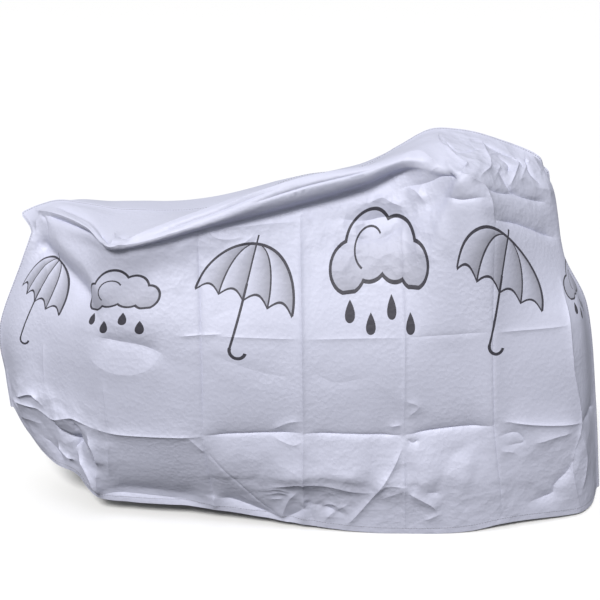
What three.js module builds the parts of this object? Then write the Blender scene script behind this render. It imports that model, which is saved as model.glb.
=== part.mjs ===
// Cover for a parked two-wheeler: two shaped sheets of film, sewn together along the ridge and
// down both ends, open below. X runs along the length, -Y is the near side, Z is up, all in mm.
import * as THREE from "three";

const SHEET = 2;
const SEAM_GAP = 0.3;
const SEAM_EDGE = 10;
const CREASE_PITCH = 250;
const STEPS_PER_CREASE = 7;
const SEAM_CALM = 90;
const TO_MIDDLE = [9.3, 0.6, 1];

// Levels of the flat sheet from the hem up, as the sections give them.
const LEVELS = [
  { name: "hem", flat: 0 },
  { name: "low", flat: 275 },
  { name: "middle", flat: 550 },
  { name: "tuck", flat: 800 },
  { name: "shoulder", flat: 880 },
  { name: "seam", flat: 1100 },
];
// Levels of the shaped sheet, with the steps from each to the next. Those with a name are set by
// the taut edge where it runs.
const NET = [
  { flat: 0, steps: 6 },
  { flat: 275, steps: 6 },
  { flat: 550, steps: 4 },
  { flat: 740, steps: 2 },
  { name: "tuck", flat: 818, steps: 2 },
  { name: "belly", flat: 853, steps: 2 },
  { name: "edge", flat: 888, steps: 2 },
  { name: "brow", flat: 922, steps: 2 },
  { name: "deck", flat: 1012, steps: 2 },
  { flat: 1100, steps: 0 },
];

// A row for each section. at counts the upright creases of the folded sheet from the left end
// seam, 0, to the right end seam, 8. Points are [x, y, z].
const RIDGE = [
  { at: 0, seam: [-805, 100, 800] },
  { at: 0.5, seam: [-762, 100, 820] },
  { at: 1, seam: [-696, 80, 838] },
  { at: 1.45, seam: [-606, 40, 835] },
  { at: 2, seam: [-500, 5, 828] },
  { at: 3, seam: [-262, 0, 838] },
  { at: 4, seam: [-24, 0, 922] },
  { at: 4.6, seam: [140, 0, 948] },
  { at: 5, seam: [243, 0, 1004] },
  { at: 5.35, seam: [322, 0, 1045] },
  { at: 5.7, seam: [392, 0, 1046] },
  { at: 6, seam: [462, 0, 1033] },
  { at: 7, seam: [604, 0, 979] },
  { at: 8, seam: [641, 4, 932] },
];

const LEFT_END = {
  hem: [-858, 5, 248], low: [-866, 5, 350], middle: [-868, 5, 500],
  tuck: [-768, 18, 746], shoulder: [-772, 50, 772],
};
const RIGHT_END = {
  hem: [857, -15, 0], low: [830, 0, 262], middle: [782, 0, 550],
  tuck: [691, 0, 728], shoulder: [667, 4, 830],
};

const NEAR = [
  LEFT_END,
  { hem: [-806, -28, 178], low: [-808, -64, 340], middle: [-812, -56, 508],
    tuck: [-734, -12, 752], shoulder: [-732, 16, 804] },
  { hem: [-727, -74, 112], low: [-723, -118, 332], middle: [-728, -105, 519],
    tuck: [-678, -60, 752], shoulder: [-668, -40, 815] },
  { hem: [-655, -122, 99], low: [-640, -168, 315], middle: [-638, -170, 540],
    tuck: [-586, -128, 745], shoulder: [-582, -132, 808] },
  { hem: [-575, -172, 44], low: [-541, -226, 274], middle: [-535, -246, 551],
    tuck: [-490, -226, 742], shoulder: [-494, -248, 788] },
  { hem: [-280, -215, 36], low: [-278, -288, 286], middle: [-277, -286, 566],
    tuck: [-279, -205, 795], shoulder: [-275, -230, 849] },
  { hem: [-13, -258, 13], low: [-16, -300, 295], middle: [-19, -290, 556],
    tuck: [-24, -166, 862], shoulder: [-24, -197, 922] },
  { hem: [145, -278, 2], low: [142, -298, 290], middle: [140, -291, 560],
    tuck: [140, -156, 916], shoulder: [140, -182, 967] },
  { hem: [260, -283, 0], low: [247, -295, 287], middle: [242, -290, 562],
    tuck: [232, -158, 944], shoulder: [240, -158, 996] },
  { hem: [346, -284, 0], low: [330, -290, 292], middle: [322, -285, 565],
    tuck: [322, -222, 934], shoulder: [322, -158, 1004] },
  { hem: [440, -276, 4], low: [410, -282, 298], middle: [398, -276, 567],
    tuck: [372, -244, 908], shoulder: [373, -230, 971] },
  { hem: [530, -252, 14], low: [486, -270, 302], middle: [467, -265, 569],
    tuck: [436, -236, 894], shoulder: [446, -168, 968] },
  { hem: [768, -168, 6], low: [731, -190, 287], middle: [694, -182, 557],
    tuck: [672, -55, 742], shoulder: [648, -42, 885] },
  RIGHT_END,
];

// Taut edge of the near side, where the top rolls over the tuck.
const TAUT_EDGE = [
  { at: 2, tuck: [-490, -241, 774], belly: [-492, -245, 780],
    edge: [-494, -248, 788], brow: [-494, -226, 800] },
  { at: 3, tuck: [-279, -215, 819], belly: [-277, -227, 829],
    edge: [-276, -235, 842], brow: [-275, -215, 867] },
  { at: 4, tuck: [-24, -165, 873], belly: [-24, -192, 894],
    edge: [-24, -205, 926], brow: [-24, -186, 950] },
  { at: 4.6, tuck: [140, -155, 918], belly: [140, -179, 936],
    edge: [140, -190, 964], brow: [140, -170, 981] },
  { at: 5, tuck: [234, -153, 954], belly: [238, -166, 972],
    edge: [240, -171, 996], brow: [242, -140, 1010] },
  { at: 5.35, tuck: [322, -212, 957], belly: [322, -200, 978],
    edge: [322, -178, 999], brow: [322, -134, 1022] },
];

const FAR = [
  LEFT_END,
  { hem: [-808, 60, 172], low: [-815, 66, 342], middle: [-820, 60, 508],
    tuck: [-784, 110, 742], shoulder: [-806, 150, 786] },
  { hem: [-740, 112, 118], low: [-748, 118, 335], middle: [-752, 110, 520],
    tuck: [-762, 152, 752], shoulder: [-762, 178, 806] },
  { hem: [-650, 152, 95], low: [-645, 170, 312], middle: [-645, 172, 538],
    tuck: [-672, 172, 766], shoulder: [-670, 174, 824] },
  { hem: [-560, 180, 42], low: [-541, 220, 280], middle: [-535, 225, 551],
    tuck: [-555, 195, 755], shoulder: [-560, 200, 812] },
  { hem: [-280, 228, 28], low: [-278, 285, 286], middle: [-277, 268, 562],
    tuck: [-285, 190, 780], shoulder: [-290, 195, 827] },
  { hem: [-13, 262, 13], low: [-16, 298, 292], middle: [-19, 285, 556],
    tuck: [-24, 178, 838], shoulder: [-24, 188, 886] },
  { hem: [145, 276, 3], low: [142, 296, 290], middle: [140, 288, 560],
    tuck: [140, 182, 875], shoulder: [140, 172, 924] },
  { hem: [260, 280, 0], low: [247, 294, 287], middle: [242, 288, 562],
    tuck: [236, 186, 898], shoulder: [242, 160, 965] },
  { hem: [346, 278, 4], low: [330, 288, 292], middle: [322, 284, 565],
    tuck: [322, 190, 915], shoulder: [325, 138, 1000] },
  { hem: [440, 268, 4], low: [410, 280, 298], middle: [398, 275, 567],
    tuck: [380, 200, 915], shoulder: [388, 150, 990] },
  { hem: [530, 250, 8], low: [486, 268, 302], middle: [467, 262, 569],
    tuck: [444, 192, 905], shoulder: [452, 128, 978] },
  { hem: [764, 172, 6], low: [731, 186, 287], middle: [694, 180, 557],
    tuck: [672, 58, 742], shoulder: [648, 46, 885] },
  RIGHT_END,
];

// Folds of each panel over its sections. A path runs through [at, height in the flat sheet], rise
// is out of the sheet and reach is how far the fold spreads to either side.
const NEAR_FOLDS = [
  { fold: "neck ridge", path: [[0.8, 822], [1.45, 760], [2.05, 650]], rise: 10, reach: 50 },
  { fold: "neck valley", path: [[0.3, 790], [0.9, 756], [1.43, 690], [1.8, 630]], rise: -18, reach: 42 },
  { fold: "swag", path: [[1.93, 545], [2.15, 534], [2.42, 521], [2.64, 500]], rise: -13, reach: 40 },
  { fold: "deck sag", path: [[0.9, 1010], [1.4, 960], [1.95, 925]], rise: -8, reach: 40 },
  { fold: "peak hollow", path: [[4.45, 738], [4.9, 742], [5.25, 765], [5.55, 815]], rise: -14, reach: 45 },
  { fold: "peak side", path: [[5.68, 875], [5.4, 797], [5.28, 772], [5.12, 745]], rise: -12, reach: 40 },
  { fold: "peak cone", path: [[5.68, 868], [5.58, 810], [5.35, 735], [5.29, 690]], rise: 11, reach: 50 },
  { fold: "low crease", path: [[1.94, 280], [2.98, 276]], rise: 9, reach: 40 },
  { fold: "low crease", path: [[3.02, 279], [3.98, 286], [4.98, 280]], rise: -8, reach: 45 },
  { fold: "low crease", path: [[5.02, 282], [5.98, 284]], rise: -15, reach: 55 },
  { fold: "low crease", path: [[6.12, 296], [6.98, 276]], rise: 8, reach: 40 },
  { fold: "third crease", path: [[3, 40], [3, 700]], rise: -7, reach: 55 },
  { fold: "fourth crease", path: [[4, 40], [4, 760]], rise: 5, reach: 55 },
  { fold: "fifth crease", path: [[5, 60], [5, 740]], rise: -6, reach: 55 },
  { fold: "sixth crease", path: [[6, 20], [6, 800]], rise: 12, reach: 70 },
  { fold: "seventh crease", path: [[7, 10], [7, 700]], rise: 13, reach: 60 },
  { fold: "left slant", path: [[2.95, 250], [3.8, 20]], rise: 8, reach: 40 },
  { fold: "right slant", path: [[5, 250], [4.75, 130], [4.4, 10]], rise: 10, reach: 40 },
  { fold: "left corner", path: [[0.1, 150], [0.85, 218], [1.15, 215], [1.94, 280]], rise: 17, reach: 65 },
  { fold: "corner dent", path: [[0.86, 215], [1.4, 155], [1.71, 178]], rise: -12, reach: 35 },
  { fold: "bulge", path: [[3.62, 152], [4.2, 172], [4.74, 158]], rise: 18, reach: 55 },
  { fold: "bulge", path: [[5.06, 150], [5.4, 165], [5.8, 140]], rise: 15, reach: 65 },
  { fold: "hem hollow", path: [[2.02, 46], [2.75, 40], [3, 32]], rise: -13, reach: 45 },
  { fold: "hem lip", path: [[3.1, 0], [3.85, 0]], rise: 14, reach: 30 },
];

const FAR_FOLDS = [
  { fold: "neck ridge", path: [[0.8, 760], [2.1, 560]], rise: 12, reach: 55 },
  { fold: "neck valley", path: [[0.4, 720], [1.7, 540]], rise: -12, reach: 50 },
  { fold: "low crease", path: [[1.6, 280], [7, 275]], rise: 8, reach: 60 },
  { fold: "third crease", path: [[3, 40], [3, 700]], rise: 6, reach: 55 },
  { fold: "fifth crease", path: [[5, 40], [5, 720]], rise: 6, reach: 55 },
  { fold: "sixth crease", path: [[6, 20], [6, 780]], rise: 9, reach: 70 },
  { fold: "seventh crease", path: [[7, 10], [7, 700]], rise: 11, reach: 60 },
  { fold: "slant", path: [[4.1, 260], [3.5, 20]], rise: 8, reach: 45 },
  { fold: "hem lip", path: [[4.2, 0], [5.4, 0]], rise: 12, reach: 30 },
];

function hermite(before, a, b, after, knots, t) {
  const span = knots[2] - knots[1];
  const w = (t - knots[1]) / span;
  const slopeA = before === null ? (b - a) / span : (b - before) / (knots[2] - knots[0]);
  const slopeB = after === null ? (b - a) / span : (after - a) / (knots[3] - knots[1]);
  const w2 = w * w;
  const w3 = w2 * w;
  return (
    (2 * w3 - 3 * w2 + 1) * a +
    (w3 - 2 * w2 + w) * span * slopeA +
    (3 * w2 - 2 * w3) * b +
    (w3 - w2) * span * slopeB
  );
}

// The point at knot t of a smooth line through points, one for each knot.
function smoothAt(points, knots, t) {
  let k = 0;
  while (k < knots.length - 2 && t > knots[k + 1]) k += 1;
  const around = [knots[k - 1], knots[k], knots[k + 1], knots[k + 2]];
  return [0, 1, 2].map((axis) => {
    const before = k > 0 ? points[k - 1][axis] : null;
    const after = k + 2 < points.length ? points[k + 2][axis] : null;
    return hermite(before, points[k][axis], points[k + 1][axis], after, around, t);
  });
}

const FLAT_LEVELS = LEVELS.map((level) => level.flat);
const NET_LEVELS = NET.map((level) => level.flat);
const TOP = NET_LEVELS.at(-1);
const ATS = RIDGE.map((row) => row.at);
const LAST_AT = ATS.at(-1);
const upStops = NET.flatMap((level, k) =>
  Array.from({ length: level.steps }, (_, i) =>
    level.flat + ((NET[k + 1].flat - level.flat) * i) / level.steps),
).concat(TOP);

function distanceTo(path, x, y) {
  let best = Infinity;
  for (let k = 0; k < path.length - 1; k += 1) {
    const [ax, ay] = [path[k][0] * CREASE_PITCH, path[k][1]];
    const [bx, by] = [path[k + 1][0] * CREASE_PITCH, path[k + 1][1]];
    const length2 = (bx - ax) ** 2 + (by - ay) ** 2;
    const share = ((x - ax) * (bx - ax) + (y - ay) * (by - ay)) / length2;
    const w = Math.min(1, Math.max(0, share));
    best = Math.min(best, Math.hypot(x - ax - w * (bx - ax), y - ay - w * (by - ay)));
  }
  return best;
}

function foldRise(folds, at, up) {
  const fromSeam = Math.min(at * CREASE_PITCH, (LAST_AT - at) * CREASE_PITCH, TOP - up);
  const calm = Math.min(1, fromSeam / SEAM_CALM);
  const rises = folds.map((fold) => {
    const d = distanceTo(fold.path, at * CREASE_PITCH, up) / fold.reach;
    return fold.rise * Math.exp(1 - Math.sqrt(1 + 3 * d * d));
  });
  return calm * rises.reduce((sum, rise) => sum + rise, 0);
}

// The line up one section, a point for each level of NET. Over a taut edge the deck runs straight
// from the brow to the seam.
function sectionLine(row, seam, edge) {
  const points = LEVELS.map(({ name }) => row[name] ?? seam);
  const taut = edge && { ...edge, deck: edge.brow.map((value, axis) => (value + seam[axis]) / 2) };
  return NET.map(({ name, flat }) => taut?.[name] ?? smoothAt(points, FLAT_LEVELS, flat));
}

// A closed sheet. side is -1 for the near panel and 1 for the far one. Along the seam the sheet
// turns out by SEAM_EDGE, where the two panels lie face to face.
function panel(table, edges, folds, side) {
  const lines = table.map((row, k) =>
    sectionLine(row, RIDGE[k].seam, edges.find(({ at }) => at === RIDGE[k].at)));
  const alongCount = LAST_AT * STEPS_PER_CREASE;
  const upCount = upStops.length - 1;
  const levelLines = upStops.map((up) => lines.map((line) => smoothAt(line, NET_LEVELS, up)));
  const outer = Array.from({ length: alongCount + 1 }, (_, i) =>
    levelLines.map((line) => new THREE.Vector3(...smoothAt(line, ATS, i / STEPS_PER_CREASE))));
  const normalsOf = (grid) => grid.map((line, i) => line.map((_, j) => {
    const a = grid[Math.min(i + 1, alongCount)][j].clone().sub(grid[Math.max(i - 1, 0)][j]);
    const b = line[Math.min(j + 1, upCount)].clone().sub(line[Math.max(j - 1, 0)]);
    return a.cross(b).normalize().multiplyScalar(-side);
  }));
  const plain = normalsOf(outer);
  outer.forEach((line, i) => line.forEach((p, j) => {
    p.addScaledVector(plain[i][j], foldRise(folds, i / STEPS_PER_CREASE, upStops[j]));
  }));

  const normals = normalsOf(outer);
  const step = (a, b) => b.clone().sub(a).normalize();
  const seamAt = (i, j) => {
    const onward = new THREE.Vector3();
    const [below, above] = [outer[i][Math.max(j - 1, 0)], outer[i][Math.min(j + 1, upCount)]];
    if (i === 0) onward.add(step(below, above));
    if (i === alongCount) onward.add(step(above, below));
    if (j === upCount) {
      onward.add(step(outer[Math.max(i - 1, 0)][j], outer[Math.min(i + 1, alongCount)][j]));
    }
    if (onward.lengthSq() === 0) return null;
    const out = new THREE.Vector3(-onward.z, 0, onward.x).normalize();
    return { out, across: out.clone().cross(onward).normalize() };
  };
  const seam = outer.map((line, i) => line.map((_, j) => seamAt(i, j)));
  const inner = outer.map((line, i) => line.map((p, j) => {
    if (!seam[i][j]) return p.clone().addScaledVector(normals[i][j], -SHEET);
    const { out, across } = seam[i][j];
    p.addScaledVector(across, side * (SEAM_GAP / 2 + SHEET));
    return p.clone().addScaledVector(across, -side * SHEET).addScaledVector(out, -SHEET);
  }));

  const tip = (i, j, by, inward) => outer[i][j].clone()
    .addScaledVector(seam[i][j].out, by)
    .addScaledVector(seam[i][j].across, -side * inward);
  const withSeamEdge = (grid, inward) => {
    const end = (i) => [
      ...grid[i].map((_, j) => tip(i, j, SEAM_EDGE, inward)),
      tip(i, upCount, SEAM_EDGE * Math.SQRT2, inward),
    ];
    const between = grid.map((line, i) => [...line, tip(i, upCount, SEAM_EDGE, inward)]);
    return [end(0), ...between, end(alongCount)];
  };
  return shell(withSeamEdge(outer, 0), withSeamEdge(inner, SHEET), side);
}

// Closes two grids of the same size into one solid.
function shell(front, back, side) {
  const columns = front.length;
  const rows = front[0].length;
  const positions = [...front.flat(), ...back.flat()].flatMap((p) => [p.x, p.y, p.z]);
  const frontId = (i, j) => i * rows + j;
  const backId = (i, j) => (columns + i) * rows + j;
  const index = [];
  const quad = (a, b, c, d) => index.push(...(side < 0 ? [a, b, c, a, c, d] : [a, c, b, a, d, c]));
  const [lastI, lastJ] = [columns - 1, rows - 1];
  for (let i = 0; i < lastI; i += 1) {
    for (let j = 0; j < lastJ; j += 1) {
      quad(frontId(i, j), frontId(i + 1, j), frontId(i + 1, j + 1), frontId(i, j + 1));
      quad(backId(i, j), backId(i, j + 1), backId(i + 1, j + 1), backId(i + 1, j));
    }
    quad(frontId(i, 0), backId(i, 0), backId(i + 1, 0), frontId(i + 1, 0));
    quad(frontId(i, lastJ), frontId(i + 1, lastJ), backId(i + 1, lastJ), backId(i, lastJ));
  }
  for (let j = 0; j < lastJ; j += 1) {
    quad(frontId(0, j), frontId(0, j + 1), backId(0, j + 1), backId(0, j));
    quad(frontId(lastI, j), backId(lastI, j), backId(lastI, j + 1), frontId(lastI, j + 1));
  }
  const geometry = new THREE.BufferGeometry();
  geometry.setAttribute("position", new THREE.Float32BufferAttribute(positions, 3));
  geometry.setIndex(index);
  return geometry.translate(...TO_MIDDLE);
}

const film = { color: 0xb9bac8, roughness: 0.45, metalness: 0.2 };
const cover = new THREE.Group();
cover.name = "two_wheeler_cover";
for (const [name, table, edges, folds, side] of [
  ["near_panel", NEAR, TAUT_EDGE, NEAR_FOLDS, -1],
  ["far_panel", FAR, [], FAR_FOLDS, 1],
]) {
  const solid = panel(table, edges, folds, side);
  const mesh = new THREE.Mesh(solid, new THREE.MeshStandardMaterial(film));
  mesh.name = name;
  cover.add(mesh);
}

export default cover;
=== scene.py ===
import math
from functools import reduce

import bpy
import numpy as np
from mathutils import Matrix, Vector
from mathutils.geometry import delaunay_2d_cdt
from mathutils.kdtree import KDTree


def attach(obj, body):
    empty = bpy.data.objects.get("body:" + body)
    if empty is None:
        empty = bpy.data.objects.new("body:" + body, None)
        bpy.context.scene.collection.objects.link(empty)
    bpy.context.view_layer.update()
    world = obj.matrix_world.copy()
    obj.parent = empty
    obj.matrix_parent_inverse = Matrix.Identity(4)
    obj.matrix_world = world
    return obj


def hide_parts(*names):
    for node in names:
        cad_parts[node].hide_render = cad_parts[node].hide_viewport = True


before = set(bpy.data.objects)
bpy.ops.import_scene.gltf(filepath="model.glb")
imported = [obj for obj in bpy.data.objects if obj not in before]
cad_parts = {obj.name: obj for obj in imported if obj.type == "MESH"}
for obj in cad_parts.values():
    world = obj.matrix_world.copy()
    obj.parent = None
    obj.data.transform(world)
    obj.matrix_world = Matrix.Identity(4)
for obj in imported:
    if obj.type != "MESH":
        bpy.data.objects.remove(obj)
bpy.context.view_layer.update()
mm = 0.001
print("frame loaded:", ", ".join(sorted(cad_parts)))

# what the sheet is cut to, and how fine its mesh is
sheetCut = {
    "length": 2000,
    "height": 1100,
    "pitch": 250,  # between upright creases of the folded sheet
    "film": 0.8,  # thickness drawn
    "seamEdge": 10,  # turned-out seam allowance
    "seamGap": 0.3,
    "seamLean": 0.8,  # how far the seam edge lies on from the near sheet, 0 is upright
    "seamCalm": 50,  # folds die out this close to the seam
    "seamInset": 12,  # how far in the way on to the seam edge is taken from
    "hemTurn": 16,  # width of the turned hem
    "threadLift": 0.3,  # thread over the film
    "middle": (9.3, 0.6, 1.0),  # added to the sections, so that the cover stands over its origin
}
# spacing of mesh points on the border, on creases, beside them and between, and the angle that shades sharp
nearGrain = {"border": 6.7, "crease": 6.5, "beside": (4, 9), "fill": 9.3, "sharp": 40}
farGrain = {"border": 8, "crease": 8, "beside": (5,), "fill": 12, "sharp": 40}
meshRoom = {"beside": 0.45, "fill": 0.6}  # free round a new point, as a share of the spacing
rowShare = 0.866  # rows of even triangles, as a share of their side
keepOff = {"seam": 4, "hem": 3, "hemTurn": 2.5, "ends": 6}  # points keep this far from those lines
mergeWithin = 1e-3

# heights in the flat sheet: hem, low, middle, tuck, shoulder, seam
rowHeights = np.array([0, 275, 550, 800, 880, 1100.0])
# the same with the taut edge between: hem, low, middle, side, tuck, belly, edge, brow, deck, seam
netHeights = np.array([0, 275, 550, 740, 818, 853, 888, 922, 1000, 1100.0])
tautRows = slice(4, 8)
deckRow = 8
deckShare = 0.44  # of the way from the brow to the seam

# crease number and the seam point over it
ridgeLine = [
    (0, (-805, 100, 800)), (0.5, (-762, 100, 820)), (1, (-696, 80, 838)), (1.45, (-606, 40, 835)),
    (2, (-500, 5, 828)), (3, (-262, 0, 838)), (4, (-24, 0, 922)), (4.6, (140, 0, 948)),
    (5, (243, 0, 1004)), (5.35, (322, 0, 1045)), (5.7, (392, 0, 1046)), (6, (462, 0, 1033)),
    (7, (604, 0, 979)), (8, (641, 4, 932)),
]

# a row for each section: hem, low, middle, tuck, shoulder
leftEnd = ((-858, 5, 248), (-866, 5, 350), (-868, 5, 500), (-768, 18, 746), (-772, 50, 772))
rightEnd = ((857, -15, 0), (830, 0, 262), (782, 0, 550), (691, 0, 728), (667, 4, 830))
nearSections = [
    leftEnd,
    ((-806, -28, 178), (-808, -64, 340), (-812, -56, 508), (-734, -12, 752), (-732, 16, 804)),
    ((-727, -74, 112), (-723, -118, 332), (-728, -105, 519), (-678, -60, 752), (-668, -40, 815)),
    ((-655, -122, 99), (-640, -168, 315), (-638, -170, 540), (-586, -128, 745), (-582, -132, 808)),
    ((-575, -172, 44), (-541, -226, 274), (-535, -246, 551), (-490, -226, 742), (-494, -248, 788)),
    ((-280, -215, 36), (-278, -288, 286), (-277, -286, 566), (-279, -205, 795), (-275, -230, 849)),
    ((-13, -258, 13), (-16, -300, 295), (-19, -290, 556), (-24, -166, 862), (-24, -197, 922)),
    ((145, -278, 2), (142, -298, 290), (140, -291, 560), (140, -156, 916), (140, -182, 967)),
    ((260, -283, 0), (247, -295, 287), (242, -290, 562), (232, -158, 944), (240, -158, 996)),
    ((346, -284, 0), (330, -290, 292), (322, -285, 565), (322, -222, 934), (322, -158, 1004)),
    ((440, -276, 4), (410, -282, 298), (398, -276, 567), (372, -244, 908), (373, -230, 971)),
    ((530, -252, 14), (486, -270, 302), (467, -265, 569), (436, -236, 894), (446, -168, 968)),
    ((768, -168, 6), (731, -190, 287), (694, -182, 557), (672, -55, 742), (648, -42, 885)),
    rightEnd,
]
# taut edge of the near side, where the top rolls over: tuck, belly, edge, brow
tautEdge = {
    2: ((-490, -241, 774), (-492, -245, 780), (-494, -248, 788), (-494, -226, 800)),
    3: ((-279, -215, 819), (-277, -227, 829), (-276, -235, 842), (-275, -215, 867)),
    4: ((-24, -165, 873), (-24, -192, 894), (-24, -205, 926), (-24, -186, 950)),
    4.6: ((140, -155, 918), (140, -179, 936), (140, -190, 964), (140, -170, 981)),
    5: ((234, -153, 954), (238, -166, 972), (240, -171, 996), (242, -140, 1010)),
    5.35: ((322, -212, 957), (322, -200, 978), (322, -178, 999), (322, -134, 1022)),
}
farSections = [
    leftEnd,
    ((-808, 60, 172), (-815, 66, 342), (-820, 60, 508), (-784, 110, 742), (-806, 150, 786)),
    ((-740, 112, 118), (-748, 118, 335), (-752, 110, 520), (-762, 152, 752), (-762, 178, 806)),
    ((-650, 152, 95), (-645, 170, 312), (-645, 172, 538), (-672, 172, 766), (-670, 174, 824)),
    ((-560, 180, 42), (-541, 220, 280), (-535, 225, 551), (-555, 195, 755), (-560, 200, 812)),
    ((-280, 228, 28), (-278, 285, 286), (-277, 268, 562), (-285, 190, 780), (-290, 195, 827)),
    ((-13, 262, 13), (-16, 298, 292), (-19, 285, 556), (-24, 178, 838), (-24, 188, 886)),
    ((145, 276, 3), (142, 296, 290), (140, 288, 560), (140, 182, 875), (140, 172, 924)),
    ((260, 280, 0), (247, 294, 287), (242, 288, 562), (236, 186, 898), (242, 160, 965)),
    ((346, 278, 4), (330, 288, 292), (322, 284, 565), (322, 190, 915), (325, 138, 1000)),
    ((440, 268, 4), (410, 280, 298), (398, 275, 567), (380, 200, 915), (388, 150, 990)),
    ((530, 250, 8), (486, 268, 302), (467, 262, 569), (444, 192, 905), (452, 128, 978)),
    ((764, 172, 6), (731, 186, 287), (694, 180, 557), (672, 58, 742), (648, 46, 885)),
    rightEnd,
]


# path of (crease number, height in the flat sheet), rise out of the sheet, reach to the left of the path,
# and reach to the right where that differs
def fold(path, rise, left, right=None, **more):
    return {"path": path, "rise": rise, "reach": (left, right or left), **more}


# soft folds, with how round the tip is
nearFolds = [
    # neck at the low end, under its edge
    fold([(0.05, 802), (0.9, 756), (1.43, 690), (1.8, 630)], -33, 32, 48, tip=7),
    fold([(0.8, 822), (1.45, 760), (2.05, 650)], 10, 60, 34, tip=8),
    # hollow over the turned-out hem
    fold([(2.02, 44), (2.31, 52), (2.75, 40), (3, 30)], -15, 46, tip=8),
    # hollow under the end of the taut edge, and the cone that runs down from the peak
    fold([(4.45, 738), (4.9, 742), (5.25, 765), (5.55, 815)], -15, 40, 50, tip=8),
    fold([(5.68, 875), (5.4, 797), (5.28, 772), (5.12, 745)], -14, 36, 44, tip=2),
    fold([(5.68, 868), (5.58, 810), (5.45, 772), (5.35, 735), (5.29, 690)], 13, 80, 26, tip=4),
    # sag of the top behind the low end
    fold([(0.9, 1010), (1.4, 960), (1.95, 925)], -9, 40, 34, tip=8),
    # bulges over the hem
    fold([(3.62, 152), (4.2, 172), (4.74, 158)], 21, 80, 26, tip=8),
    fold([(5.06, 150), (5.4, 165), (5.8, 140)], 16, 80, 60, tip=12),
    # low bulges beside the sixth crease
    fold([(5.93, 262), (5.74, 238), (5.53, 212), (5.35, 120)], -8, 40, 30, tip=5),
    fold([(6.29, 272), (6.28, 158), (6.23, 92)], 4, 30, 36, tip=5),
]
farFolds = [
    fold([(0.8, 760), (2.1, 560)], 12, 45, tip=10),
    fold([(0.4, 720), (1.7, 540)], -12, 45, tip=10),
    fold([(4.2, 0), (5.4, 0)], 12, 26, tip=8),
    fold([(1.4, 210), (2.2, 120)], -12, 40, tip=8),
    fold([(5.7, 890), (5.5, 780), (5.3, 690)], 7, 36, 30, tip=8),
]
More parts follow.
